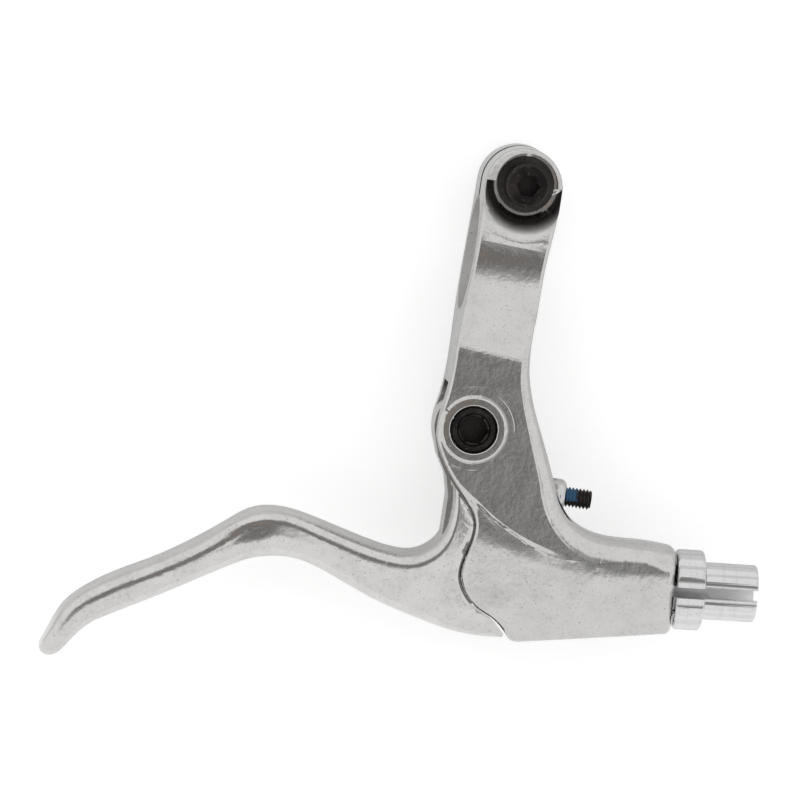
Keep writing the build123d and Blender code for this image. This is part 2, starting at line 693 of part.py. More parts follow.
def make_barrel():
    """Slotted adjuster: thread in the boss, fluted head with the socket for the housing."""
    head_start = RING_GAP + RING_THICKNESS + HEAD_GAP
    head_end = head_start + HEAD_LENGTH
    head = fillet(rod(HEAD_RADIUS, head_start, head_end).edges().sort_by(Axis.Z)[-1], HEAD_EDGE)
    head = fluted(head, HEAD_RADIUS, HEAD_FLUTES, HEAD_FLUTE_RADIUS, HEAD_FLUTE_DEPTH)
    barrel = head + rod(THREAD_RADIUS, 1 - THREAD_LENGTH, head_start)
    barrel -= rod(HOUSING_RADIUS, head_end - HOUSING_DEPTH, FAR)
    barrel -= rod(CABLE_HOLE_RADIUS, -FAR, FAR)
    barrel -= adjuster_slot()
    return along_cable(0, barrel)


def main():
    """Build each piece and write it to its own file."""
    os.makedirs("parts", exist_ok=True)
    pieces = {
        "bracket": make_bracket(),
        "brake_blade": make_blade(),
        "pivot_bolt": make_pivot_bolt(),
        "pivot_nut": make_pivot_nut(),
        "pivot_bush_upper": make_bush(1),
        "pivot_bush_lower": make_bush(-1),
        "clamp_bolt": make_clamp_bolt(),
        "clamp_washer": make_clamp_washer(),
        "reach_screw": make_reach_screw(),
        "lock_ring": make_lock_ring(),
        "barrel_adjuster": make_barrel(),
    }
    for name, piece in pieces.items():
        export_step(piece, f"parts/{name}.step")


main()
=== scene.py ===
import bmesh
import bpy
import json
import math
from mathutils import Matrix, Vector

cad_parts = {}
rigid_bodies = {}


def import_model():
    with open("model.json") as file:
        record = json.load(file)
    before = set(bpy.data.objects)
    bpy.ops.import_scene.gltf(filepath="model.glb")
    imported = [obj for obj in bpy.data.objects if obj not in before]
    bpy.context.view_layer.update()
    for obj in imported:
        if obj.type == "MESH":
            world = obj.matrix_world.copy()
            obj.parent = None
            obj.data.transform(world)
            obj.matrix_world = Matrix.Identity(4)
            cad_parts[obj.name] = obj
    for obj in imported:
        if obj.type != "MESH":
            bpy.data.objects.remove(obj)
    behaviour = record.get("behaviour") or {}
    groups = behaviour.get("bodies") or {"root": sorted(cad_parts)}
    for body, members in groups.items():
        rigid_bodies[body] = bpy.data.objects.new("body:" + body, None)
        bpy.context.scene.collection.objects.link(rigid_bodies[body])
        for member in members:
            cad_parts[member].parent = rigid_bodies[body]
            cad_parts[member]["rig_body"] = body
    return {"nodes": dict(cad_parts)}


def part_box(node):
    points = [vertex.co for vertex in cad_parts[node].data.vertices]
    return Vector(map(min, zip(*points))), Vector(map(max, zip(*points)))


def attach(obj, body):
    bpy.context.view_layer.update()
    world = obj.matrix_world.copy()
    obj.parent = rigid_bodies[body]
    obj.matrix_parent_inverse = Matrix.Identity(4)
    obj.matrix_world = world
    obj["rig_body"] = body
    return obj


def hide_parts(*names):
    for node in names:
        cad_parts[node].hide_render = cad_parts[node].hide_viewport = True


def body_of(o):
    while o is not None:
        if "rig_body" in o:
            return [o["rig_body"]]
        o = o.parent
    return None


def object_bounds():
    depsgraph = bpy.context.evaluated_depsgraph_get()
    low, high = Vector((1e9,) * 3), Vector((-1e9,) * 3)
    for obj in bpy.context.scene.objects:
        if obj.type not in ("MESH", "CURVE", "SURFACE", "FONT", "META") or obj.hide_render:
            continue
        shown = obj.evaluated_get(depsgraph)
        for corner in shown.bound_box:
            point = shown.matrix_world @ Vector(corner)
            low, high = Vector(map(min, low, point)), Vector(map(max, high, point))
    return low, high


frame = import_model()
nodes = frame["nodes"]
cad_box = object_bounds()

# Camera
# A long lens, almost straight above the lever, so that the pivot points a few degrees away from it.
# The image is 800 by 800 pixels, at 5.1 pixels for each millimetre.
IMAGE_WIDTH = 800
PIXELS_PER_METRE = 5100.0
SENSOR_WIDTH = 36.0
CAMERA_DISTANCE = 1.55
CAMERA_ROLL = math.radians(8.7)
LEAN_RIGHT = -0.067
LEAN_UP = 0.083
# Pixels from the middle of the image to the handlebar's middle, to the right and upwards
BAR_PIXELS = Vector((105, 142))


def new_object(name, data):
    """A new object in the scene."""
    made = bpy.data.objects.new(name, data)
    bpy.context.scene.collection.objects.link(made)
    return made


image_right = Vector((math.cos(CAMERA_ROLL), math.sin(CAMERA_ROLL), 0))
image_up = Vector((-math.sin(CAMERA_ROLL), math.cos(CAMERA_ROLL), 0))
towards_camera = (Vector((0, 0, 1)) + image_right * LEAN_RIGHT + image_up * LEAN_UP).normalized()
bar_in_image = BAR_PIXELS / PIXELS_PER_METRE
target = -image_right * bar_in_image.x - image_up * bar_in_image.y
camera_up = (image_up - towards_camera * image_up.dot(towards_camera)).normalized()
camera_right = camera_up.cross(towards_camera)
camera_data = bpy.data.cameras.new("camera")
camera_data.sensor_width = SENSOR_WIDTH
camera_data.lens = SENSOR_WIDTH * CAMERA_DISTANCE * PIXELS_PER_METRE / IMAGE_WIDTH
camera_data.clip_end = 10.0
camera = new_object("camera", camera_data)
camera_place = Matrix((camera_right, camera_up, towards_camera)).transposed().to_4x4()
camera_place.translation = target + towards_camera * CAMERA_DISTANCE
camera.matrix_world = camera_place
bpy.context.scene.camera = camera
bpy.context.scene.view_settings.view_transform = "Standard"

# Stage
# A white floor under the lever and a white surround with a dark opening overhead, as in a light
# tent that is photographed through its top, with the darkest part of the opening beside the lens. In
# the metal, the floor in front of the blade shows brighter, as a white card there does.
OPENING_RIGHT = 0.023
OPENING_UP = -0.085
# Angles from the opening's middle as shares of half a turn, each with its colour or its grey
OPENING_STOPS = [(0.0, (0.32, 0.285, 0.26)), (0.041, (0.29, 0.255, 0.235))]
TENT_STOPS = [
    (0.049, 0.13), (0.0605, 0.16), (0.0685, 0.33), (0.0778, 0.37), (0.0972, 0.39), (0.111, 0.43),
    (0.122, 0.62), (0.133, 0.86), (0.155, 0.97),
]
FLOOR_RADIUS = 1.5
FLOOR_MIDDLE = (-0.02, -0.03)
FLOOR_GAP = 0.0002
FLOOR_COLOUR = (0.75, 0.75, 0.75, 1)
GLOW_FOR_CAMERA = 0.475
GLOW_IN_METAL = 0.14
CARD_IN_METAL = 0.4
CARD_EDGE = (0.06, 0.076)


def link(tree, source, target_socket):
    tree.links.new(source, target_socket)


def calc(tree, kind, *values):
    """One sum on some values, each a socket or a number."""
    node = tree.nodes.new("ShaderNodeMath")
    node.operation = kind
    for index, value in enumerate(values):
        if isinstance(value, (int, float)):
            node.inputs[index].default_value = value
        else:
            link(tree, value, node.inputs[index])
    return node.outputs[0]


def between(tree, value, low, high, at_low=0.0, at_high=1.0):
    """A value that changes softly between two limits, from at_low to at_high."""
    node = tree.nodes.new("ShaderNodeMapRange")
    node.interpolation_type = "SMOOTHSTEP"
    link(tree, value, node.inputs["Value"])
    node.inputs["From Min"].default_value = low
    node.inputs["From Max"].default_value = high
    node.inputs["To Min"].default_value = at_low
    node.inputs["To Max"].default_value = at_high
    return node.outputs[0]


def distance_along(tree, place, direction):
    """How far a place lies along a direction."""
    node = tree.nodes.new("ShaderNodeVectorMath")
    node.operation = "DOT_PRODUCT"
    node.inputs[1].default_value = direction
    link(tree, place, node.inputs[0])
    return node.outputs["Value"]


def as_mesh(work, name):
    """Turn a bmesh into a mesh."""
    mesh = bpy.data.meshes.new(name)
    work.to_mesh(mesh)
    work.free()
    return mesh


world = bpy.data.worlds.new("light_tent")
bpy.context.scene.world = world
world.use_nodes = True
tree = world.node_tree
tree.nodes.clear()
opening = (towards_camera + camera_right * OPENING_RIGHT + camera_up * OPENING_UP).normalized()
direction = tree.nodes.new("ShaderNodeTexCoord").outputs["Generated"]
from_opening = calc(tree, "ARCCOSINE", distance_along(tree, direction, opening))
tent = tree.nodes.new("ShaderNodeValToRGB")
stops = OPENING_STOPS + [(share, (grey, grey, grey)) for share, grey in TENT_STOPS]
while len(tent.color_ramp.elements) < len(stops):
    tent.color_ramp.elements.new(0.5)
for element, (share, colour) in zip(tent.color_ramp.elements, stops):
    element.position = share
    element.color = (*colour, 1)
link(tree, calc(tree, "DIVIDE", from_opening, math.pi), tent.inputs["Fac"])
surround = tree.nodes.new("ShaderNodeBackground")
surround.inputs["Strength"].default_value = 1.0
link(tree, tent.outputs["Color"], surround.inputs["Color"])
white = tree.nodes.new("ShaderNodeBackground")
white.inputs["Color"].default_value = (1, 1, 1, 1)
choose = tree.nodes.new("ShaderNodeMixShader")
link(tree, tree.nodes.new("ShaderNodeLightPath").outputs["Is Camera Ray"], choose.inputs["Fac"])
link(tree, surround.outputs[0], choose.inputs[1])
link(tree, white.outputs[0], choose.inputs[2])
link(tree, choose.outputs[0], tree.nodes.new("ShaderNodeOutputWorld").inputs["Surface"])

floor_mesh = bmesh.new()
bmesh.ops.create_circle(floor_mesh, cap_ends=True, segments=64, radius=FLOOR_RADIUS)
bmesh.ops.translate(floor_mesh, verts=floor_mesh.verts, vec=(*FLOOR_MIDDLE, cad_box[0].z - FLOOR_GAP))
floor = new_object("floor", as_mesh(floor_mesh, "floor"))
paper = bpy.data.materials.new("white_paper")
paper.use_nodes = True
tree = paper.node_tree
tree.nodes.clear()
matt = tree.nodes.new("ShaderNodeBsdfDiffuse")
matt.inputs["Color"].default_value = FLOOR_COLOUR
glow = tree.nodes.new("ShaderNodeEmission")
seen = tree.nodes.new("ShaderNodeLightPath").outputs
in_metal = calc(tree, "MAXIMUM", seen["Is Glossy Ray"], seen["Is Transmission Ray"])
in_front = distance_along(tree, tree.nodes.new("ShaderNodeTexCoord").outputs["Object"], -image_up)
card = between(tree, in_front, *CARD_EDGE, GLOW_IN_METAL, CARD_IN_METAL)
card = calc(tree, "MULTIPLY", in_metal, card)
strength = calc(tree, "MULTIPLY_ADD", seen["Is Camera Ray"], GLOW_FOR_CAMERA, card)
link(tree, strength, glow.inputs["Strength"])
both = tree.nodes.new("ShaderNodeAddShader")
link(tree, matt.outputs[0], both.inputs[0])
link(tree, glow.outputs[0], both.inputs[1])
link(tree, both.outputs[0], tree.nodes.new("ShaderNodeOutputMaterial").inputs["Surface"])
floor.data.materials.append(paper)

# Bracket
# One aluminium forging with the handlebar ring, ears, fork and cable boss, tumbled and then polished,
# which leaves faint ripples, a fine grain and small dark pits in its skin.
PIVOT = Vector((-0.0017, -0.03365, 0))
BOLT = Vector((0.00115, 0.0152, 0))
FORGING_COLOUR = (0.62, 0.614, 0.603)
STAIN_COLOUR = (0.3, 0.26, 0.23)
POLISH = 0.1
SKIN_DEPTH = 0.00004
SHARP_ANGLE = math.radians(30)


def smooth(mesh):
    """Smooth shading across shallow edges."""
    for polygon in mesh.polygons:
        polygon.use_smooth = True
    mesh.set_sharp_from_angle(angle=SHARP_ANGLE)


def dressed(node, name, edge=0.0):
    """A copy of a CAD piece with its triangles joined, its curves smooth and its edges broken."""
    mesh = nodes[node].data.copy()
    mesh.name = name
    work = bmesh.new()
    work.from_mesh(mesh)
    bmesh.ops.remove_doubles(work, verts=work.verts, dist=1e-6)
    bmesh.ops.dissolve_limit(
        work, angle_limit=math.radians(0.5), verts=work.verts, edges=work.edges, delimit={"NORMAL"}
    )
    work.to_mesh(mesh)
    work.free()
    mesh.materials.clear()
    smooth(mesh)
    piece = new_object(name, mesh)
    if edge:
        rounding = piece.modifiers.new("broken_edges", "BEVEL")
        rounding.width = edge
        rounding.segments = 2
        rounding.limit_method = "ANGLE"
        rounding.angle_limit = math.radians(40)
        rounding.use_clamp_overlap = True
    even = piece.modifiers.new("even_shading", "WEIGHTED_NORMAL")
    even.keep_sharp = True
    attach(piece, body_of(nodes[node])[0])
    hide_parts(node)
    return piece


def carve(piece, mesh):
    """Cut one closed mesh out of a piece."""
    cutter = new_object("cutter", mesh)
    cut = piece.modifiers.new("cut", "BOOLEAN")
    cut.operation = "DIFFERENCE"
    cut.solver = "EXACT"
    cut.object = cutter
    while piece.modifiers[0] != cut:
        piece.modifiers.move(len(piece.modifiers) - 1, 0)
    for modifier in piece.modifiers:
        modifier.show_viewport = modifier == cut
    bpy.context.view_layer.update()
    shaped = bpy.data.meshes.new_from_object(piece.evaluated_get(bpy.context.evaluated_depsgraph_get()))
    shaped.name = piece.data.name
    piece.modifiers.remove(cut)
    piece.data = shaped
    bpy.data.objects.remove(cutter)
    smooth(shaped)
    for modifier in piece.modifiers:
        modifier.show_viewport = True


def turned(profile, place, steps=72):
    """A closed solid turned from its radii and heights, set in a place, as a bmesh."""
    work = bmesh.new()
    points = [work.verts.new((radius, 0, height)) for radius, height in profile]
    edges = [work.edges.new(pair) for pair in zip(points, points[1:])]
    bmesh.ops.spin(
        work, geom=points + edges, cent=(0, 0, 0), axis=(0, 0, 1), angle=2 * math.pi, steps=steps,
        use_merge=True,
    )
    bmesh.ops.remove_doubles(work, verts=work.verts, dist=1e-7)
    bmesh.ops.recalc_face_normals(work, faces=work.faces)
    bmesh.ops.transform(work, matrix=place, verts=work.verts)
    return work


def plus_share(tree, base, value, share):
    """A value with a share of another one added to it."""
    return calc(tree, "MULTIPLY_ADD", value, share, base)


def fade(tree, value, low, high):
    """A value that falls softly from 1 at low to 0 at high."""
    return between(tree, value, low, high, 1.0, 0.0)


def noise(tree, place, scale, detail=3.0, roughness=0.5, kind="3D"):
    """Noise over a place, or over one value where kind is 1D."""
    node = tree.nodes.new("ShaderNodeTexNoise")
    node.noise_dimensions = kind
    node.inputs["Detail"].default_value = detail
    node.inputs["Roughness"].default_value = roughness
    link(tree, place, node.inputs["W" if kind == "1D" else "Vector"])
    if isinstance(scale, (int, float)):
        node.inputs["Scale"].default_value = scale
    else:
        link(tree, scale, node.inputs["Scale"])
    return node.outputs["Fac"]


def stretch(tree, place, scale=(1, 1, 1), rotation=(0, 0, 0), location=(0, 0, 0)):
    """A place that is stretched, turned and moved."""
    node = tree.nodes.new("ShaderNodeMapping")
    node.inputs["Location"].default_value = location
    node.inputs["Rotation"].default_value = rotation
    node.inputs["Scale"].default_value = scale
    link(tree, place, node.inputs["Vector"])
    return node.outputs[0]


def away_from(tree, place, line=(0, 0, 0), flat=(1, 1, 0)):
    """Distance of a place from a line through a point, along the axis that is 0 in flat."""
    node = tree.nodes.new("ShaderNodeVectorMath")
    node.operation = "LENGTH"
    link(tree, stretch(tree, place, flat, location=-Vector(line)), node.inputs[0])
    return node.outputs["Value"]


def axes(tree, place):
    """The X, Y and Z of a place."""
    node = tree.nodes.new("ShaderNodeSeparateXYZ")
    link(tree, place, node.inputs[0])
    return node.outputs


def group(name, numbers, outputs):
    """An empty node group with a place, some numbers and some outputs."""
    made = bpy.data.node_groups.new(name, "ShaderNodeTree")
    made.interface.new_socket("Place", in_out="INPUT", socket_type="NodeSocketVector")
    for label, value in numbers.items():
        socket = made.interface.new_socket(label, in_out="INPUT", socket_type="NodeSocketFloat")
        socket.default_value = value
    for label in outputs:
        made.interface.new_socket(label, in_out="OUTPUT", socket_type="NodeSocketFloat")
    return made, made.nodes.new("NodeGroupInput").outputs, made.nodes.new("NodeGroupOutput").inputs


# Tumbled skin: ripples, grain and waves as a height, pits, clouds and stains as masks
tumbled, start, end = group(
    "tumbled_skin", {"Ripple Scale": 1100.0, "Grain Scale": 4200.0, "Waves": 0.0},
    ["Height", "Pits", "Clouds", "Stains"],
)
place = start["Place"]
ripples = noise(tumbled, place, start["Ripple Scale"], detail=2.0)
grain = noise(tumbled, place, start["Grain Scale"], roughness=0.6)
waves = noise(tumbled, place, 230.0, detail=2.0, roughness=0.45)
fine = plus_share(tumbled, calc(tumbled, "MULTIPLY", ripples, 0.72), grain, 0.28)
link(tumbled, plus_share(tumbled, fine, waves, start["Waves"]), end["Height"])
spots = noise(tumbled, place, 2300.0, detail=1.0)
link(tumbled, between(tumbled, spots, 0.66, 0.74), end["Pits"])
clouds = between(tumbled, noise(tumbled, place, 210.0, detail=4.0, roughness=0.65), 0.35, 0.7)
link(tumbled, clouds, end["Clouds"])
speckle = between(tumbled, noise(tumbled, place, 1000.0, detail=4.0, roughness=0.75), 0.5, 0.64)
link(tumbled, calc(tumbled, "MULTIPLY", speckle, clouds), end["Stains"])

# Scuffs: short scratches that run three ways, in patches
scuffed, start, end = group("scuffs", {"Amount": 0.5}, ["Mask"])
place = start["Place"]
scratches = []
for turn in (0.4, 1.5, 2.6):
    drawn = noise(scuffed, stretch(scuffed, place, (5200.0, 330.0, 700.0), (0, 0, turn)), 1.0, detail=1.0)
    scratches.append(between(scuffed, drawn, 0.74, 0.8))
most = calc(scuffed, "MAXIMUM", calc(scuffed, "MAXIMUM", scratches[0], scratches[1]), scratches[2])
patches = between(scuffed, noise(scuffed, place, 150.0, detail=2.0), 0.52, 0.7)
mask = calc(scuffed, "MULTIPLY", calc(scuffed, "MULTIPLY", most, patches), start["Amount"])
link(scuffed, mask, end["Mask"])


def use(tree, made, place, **numbers):
    """Place a node group in a material and set its numbers."""
    node = tree.nodes.new("ShaderNodeGroup")
    node.node_tree = made
    link(tree, place, node.inputs["Place"])
    for label, value in numbers.items():
        node.inputs[label.replace("_", " ")].default_value = value
    return node.outputs


def material(name, metallic=1.0):
    """A new material: its tree, its shader and the place on the object."""
    made = bpy.data.materials.new(name)
    made.use_nodes = True
    tree = made.node_tree
    shader = tree.nodes["Principled BSDF"]
    shader.inputs["Metallic"].default_value = metallic
    return made, tree, shader, tree.nodes.new("ShaderNodeTexCoord").outputs["Object"]


def blend_colours(tree, share, first, second):
    """Mix two colours, each a socket or three numbers, by a share."""
    node = tree.nodes.new("ShaderNodeMix")
    node.data_type = "RGBA"
    link(tree, share, node.inputs["Factor"])
    for label, value in (("A", first), ("B", second)):
        socket = [s for s in node.inputs if s.name == label and s.type == "RGBA"][0]
        if isinstance(value, tuple):
            socket.default_value = (*value, 1)
        else:
            link(tree, value, socket)
    return [s for s in node.outputs if s.type == "RGBA"][0]


def bumped(tree, shader, height, distance):
    """Give a shader a height, which counts as a distance in metres."""
    node = tree.nodes.new("ShaderNodeBump")
    node.inputs["Distance"].default_value = distance
    link(tree, height, node.inputs["Height"])
    link(tree, node.outputs[0], shader.inputs["Normal"])


def tumbled_metal(name, colour, raised=None, unpolished=None):
    """Polished forging: bright metal with ripples, brownish stains, pits and scuffs."""
    made, tree, shader, place = material(name)
    skin = use(tree, tumbled, place, Waves=2.1)
    marks = use(tree, scuffed, place, Amount=0.8)
    dull = tuple(0.93 * part for part in colour)
    surface = blend_colours(tree, skin["Clouds"], colour, dull)
    for spots, share in (("Stains", 0.24), ("Pits", 0.5)):
        surface = blend_colours(tree, calc(tree, "MULTIPLY", skin[spots], share), surface, STAIN_COLOUR)
    link(tree, surface, shader.inputs["Base Color"])
    rough = plus_share(tree, POLISH, skin["Clouds"], 0.08)
    rough = plus_share(tree, rough, skin["Pits"], 0.15)
    rough = plus_share(tree, rough, marks["Mask"], 0.22)
    if unpolished:
        rough = plus_share(tree, rough, unpolished(tree, place), 0.45)
    link(tree, rough, shader.inputs["Roughness"])
    height = plus_share(tree, skin["Height"], marks["Mask"], -0.2)
    height = plus_share(tree, height, skin["Pits"], -0.12)
    height = calc(tree, "MULTIPLY", height, SKIN_DEPTH)
    if raised:
        height = calc(tree, "ADD", height, raised(tree, place))
    bumped(tree, shader, height, 1.0)
    return made


# Tool marks on the upper side: a crease on an arc, a cutter's circle and a bend at the arm's foot
UPPER_SIDE = (0.002, 0.004)
CREASE_CENTRE = (0.0247, -0.01855, 0)
CREASE_RADIUS = 0.0375
CREASE_BLUR = 0.0005
CREASE_START = (0.0, 0.002)
CREASE_END = (0.012, 0.0215)
CREASE_HEIGHT = 0.0004
CIRCLE_INSIDE = (0.0079, 0.0081)
CIRCLE_OUTSIDE = (0.0082, 0.0085)
CIRCLE_DEPTH = 0.00003
FOOT_LINE = -0.0185
FOOT_SLANT = -0.0959
FOOT_WANDER = 0.0012
FOOT_REACH = 0.0012
FOOT_HEIGHT = 0.00005


def tool_marks(tree, place):
    """Height of the crease, the cutter's circle round the pivot boss and the bend at the arm's foot."""
    spot = axes(tree, place)
    upper_side = between(tree, spot["Z"], *UPPER_SIDE)
    from_crease = away_from(tree, place, CREASE_CENTRE)
    crease = between(tree, from_crease, CREASE_RADIUS - CREASE_BLUR, CREASE_RADIUS + CREASE_BLUR)
    for limit in (between(tree, spot["X"], *CREASE_START), fade(tree, spot["X"], *CREASE_END), upper_side):
        crease = calc(tree, "MULTIPLY", crease, limit)
    from_pivot = away_from(tree, place, PIVOT)
    circle = between(tree, from_pivot, *CIRCLE_INSIDE)
    circle = calc(tree, "SUBTRACT", circle, between(tree, from_pivot, *CIRCLE_OUTSIDE))
    uneven = between(tree, noise(tree, place, 260.0, detail=2.0), 0.4, 0.65)
    circle = calc(tree, "MULTIPLY", circle, uneven)
    wander = calc(tree, "SUBTRACT", noise(tree, place, 900.0, roughness=0.6), 0.5)
    from_foot = calc(tree, "SUBTRACT", spot["Y"], plus_share(tree, FOOT_LINE, spot["X"], FOOT_SLANT))
    from_foot = calc(tree, "ABSOLUTE", plus_share(tree, from_foot, wander, FOOT_WANDER))
    near_foot = calc(tree, "SUBTRACT", 1.0, calc(tree, "DIVIDE", from_foot, FOOT_REACH))
    near_foot = calc(tree, "MAXIMUM", near_foot, 0.0)
    bend = calc(tree, "MULTIPLY", calc(tree, "MULTIPLY", near_foot, near_foot), upper_side)
    marks = calc(tree, "MULTIPLY", crease, CREASE_HEIGHT)
    marks = plus_share(tree, marks, circle, -CIRCLE_DEPTH)
    return plus_share(tree, marks, bend, FOOT_HEIGHT)


# Machined faces: the bar's bore and the spot face round the clamp bolt
SPOT_FACE_EDGE = (0.0092, 0.0102)
SPOT_FACE_RISE = (0.0085, 0.0125)
BORE_EDGE = (0.01135, 0.0115)


def machined_faces(tree, place):
    """Mask of the faces that no wheel polishes."""
    round_bolt = fade(tree, away_from(tree, place, BOLT), *SPOT_FACE_EDGE)
    risen = between(tree, axes(tree, place)["Z"], *SPOT_FACE_RISE)
    spot_face = calc(tree, "MULTIPLY", round_bolt, risen)
    bore = fade(tree, away_from(tree, place, flat=(0, 1, 1)), *BORE_EDGE)
    return calc(tree, "MAXIMUM", spot_face, bore)


polished_bracket = tumbled_metal("polished_bracket", FORGING_COLOUR, tool_marks, machined_faces)
bracket = dressed("bracket", "forged_bracket")

# The spot face opens out in a rounded lip where it meets the rising ring
LIP_FLOOR = 0.0105
LIP_TOP = 0.018
LIP_RADIUS = 0.0120
lip = turned(
    [(0, LIP_FLOOR), (0.00778, LIP_FLOOR), (0.0086, 0.01175), (0.0090, 0.01225), (0.0094, 0.01262),
     (0.0099, 0.01292), (0.0105, 0.01314), (0.0112, 0.0133), (LIP_RADIUS, 0.0134), (LIP_RADIUS, LIP_TOP),
     (0, LIP_TOP)],
    Matrix.Translation(BOLT),
)
cut = bmesh.ops.bisect_plane(
    lip, geom=list(lip.verts) + list(lip.edges) + list(lip.faces), plane_co=BOLT, plane_no=(0, 1, 0),
    clear_outer=True,
)
rim = [item for item in cut["geom_cut"] if isinstance(item, bmesh.types.BMEdge)]
bmesh.ops.edgeloop_fill(lip, edges=rim)
bmesh.ops.recalc_face_normals(lip, faces=lip.faces)
carve(bracket, as_mesh(lip, "lip"))

# The edge of the pivot bolt's hole is broken
BOSS_TOP = 0.009485
HOLE_RADIUS = 0.0044
MOUTH_RADIUS = 0.00492
MOUTH_DEPTH = 0.0002
broken = turned(
    [(0, BOSS_TOP - MOUTH_DEPTH), (HOLE_RADIUS, BOSS_TOP - MOUTH_DEPTH), (MOUTH_RADIUS, BOSS_TOP + 0.00002),
     (MOUTH_RADIUS, BOSS_TOP + 0.001), (0, BOSS_TOP + 0.001)],
    Matrix.Translation(PIVOT),
)
carve(bracket, as_mesh(broken, "broken_hole_edge"))
bracket.data.materials.clear()
bracket.data.materials.append(polished_bracket)

# Blade
# The finger blade with its root, tongue and pivot eye, forged from the same alloy and polished alike.
# The polishing wheel has softened the finger part and left a flatter place on its hump.
BLADE_COLOUR = (0.66, 0.653, 0.64)
BLADE_START = -0.0095
FACET_LENGTHS = (0.004, 0.002, 0.0012, 0.0012, 0.0009)
SHORTEST_EDGE = 0.00002
HUMP = Vector((-0.0417, -0.0605))
HUMP_HEIGHT = 0.0067
HUMP_LENGTH = 0.0062
HUMP_WIDTH = 0.0031
HUMP_REACH = 1.35
HUMP_FLATNESS = 0.85
HUMP_LEAN_RIGHT = -0.055
HUMP_LEAN_UP = -0.035
SIDE_HEIGHT = 0.003
POLISHING_PASSES = 16
PASS_STEP = 0.0002


def finger_faces(work):
    """Faces that reach into the finger part."""
    return [face for face in work.faces if min(v.co.x for v in face.verts) < BLADE_START]


def finger_edges(work, length=0.0):
    """Edges of the finger part that are longer than a length."""
    return [
        edge for edge in work.edges
        if max(v.co.x for v in edge.verts) < BLADE_START and edge.calc_length() > length
    ]


blade = dressed("brake_blade", "forged_blade")
work = bmesh.new()
work.from_mesh(blade.data)
bmesh.ops.triangulate(work, faces=finger_faces(work))
for length in FACET_LENGTHS:
    bmesh.ops.subdivide_edges(work, edges=finger_edges(work, length), cuts=1)
    bmesh.ops.triangulate(work, faces=finger_faces(work))
    bmesh.ops.dissolve_degenerate(work, edges=finger_edges(work), dist=SHORTEST_EDGE)
    bmesh.ops.triangulate(work, faces=finger_faces(work))
finger = [vert for vert in work.verts if vert.co.x < BLADE_START]

# The flatter place is pressed into both sides, and each pass of the wheel starts farther from the root
hump_normal = (Vector((0, 0, 1)) + image_right * HUMP_LEAN_RIGHT + image_up * HUMP_LEAN_UP).normalized()
for vert in finger:
    if abs(vert.co.z) < SIDE_HEIGHT:
        continue
    across = vert.co.xy - HUMP
    along_hump = across.dot(image_right.xy) / HUMP_LENGTH
    over_hump = across.dot(image_up.xy) / HUMP_WIDTH
    share = min(1, max(0, HUMP_REACH - math.hypot(along_hump, over_hump)))
    share = share * share * (3 - 2 * share)
    flat = HUMP_HEIGHT - (across.x * hump_normal.x + across.y * hump_normal.y) / hump_normal.z
    vert.co.z += math.copysign(HUMP_FLATNESS * share * (flat - abs(vert.co.z)), vert.co.z)
for turn in range(POLISHING_PASSES):
    soft = [vert for vert in finger if vert.co.x < BLADE_START - PASS_STEP * turn]
    for factor in (0.5, -0.52):
        bmesh.ops.smooth_vert(
            work, verts=soft, factor=factor, use_axis_x=True, use_axis_y=True, use_axis_z=True
        )
for vert in finger:
    vert.co.x = max(vert.co.x, cad_box[0].x)
work.to_mesh(blade.data)
work.free()
smooth(blade.data)
blade.data.materials.append(tumbled_metal("polished_blade", BLADE_COLOUR))

# Clamp bolt and washer
# An M5 socket head screw with black oxide, screwed through the upper ear into the lower one, on a
# plain washer in the spot face.
OXIDE_COLOUR = (0.028, 0.026, 0.026)
WORN_OXIDE_COLOUR = (0.05, 0.048, 0.047)
RUBBED_COLOUR = (0.22, 0.2, 0.19)
SCRATCH_COLOUR = (0.35, 0.33, 0.31)
WARMTH = (1.6, 1.5, 1.4)
THREAD_RUN_OUT = 0.0005


def thread_cutter(radius, pitch, length, steps=28):
    """A helical groove along Z from 0 to a length, as a closed solid."""
    work = bmesh.new()
    depth = 0.62 * pitch
    proud = 0.2 * pitch
    root = 0.06 * pitch
    mouth = pitch * 0.5 * (depth + proud) / (depth + root)
    profile = [
        work.verts.new((radius - depth, 0, -root)), work.verts.new((radius + proud, 0, -mouth)),
        work.verts.new((radius + proud, 0, mouth)), work.verts.new((radius - depth, 0, root)),
    ]
    face = work.faces.new(profile)
    turns = length / pitch
    bmesh.ops.spin(
        work, geom=[face] + list(face.edges) + list(face.verts), cent=(0, 0, 0), axis=(0, 0, 1),
        dvec=(0, 0, pitch / steps), angle=2 * math.pi * turns, steps=round(steps * turns), use_merge=False,
    )
    bmesh.ops.recalc_face_normals(work, faces=work.faces)
    return as_mesh(work, "thread_groove")


def cut_thread(piece, radius, pitch, length, origin, along):
    """Cut a screw thread into a round piece, from an origin along a direction."""
    mesh = thread_cutter(radius, pitch, length)
    tilt = Vector((0, 0, 1)).rotation_difference(Vector(along)).to_matrix().to_4x4()
    mesh.transform(Matrix.Translation(origin) @ tilt)
    carve(piece, mesh)


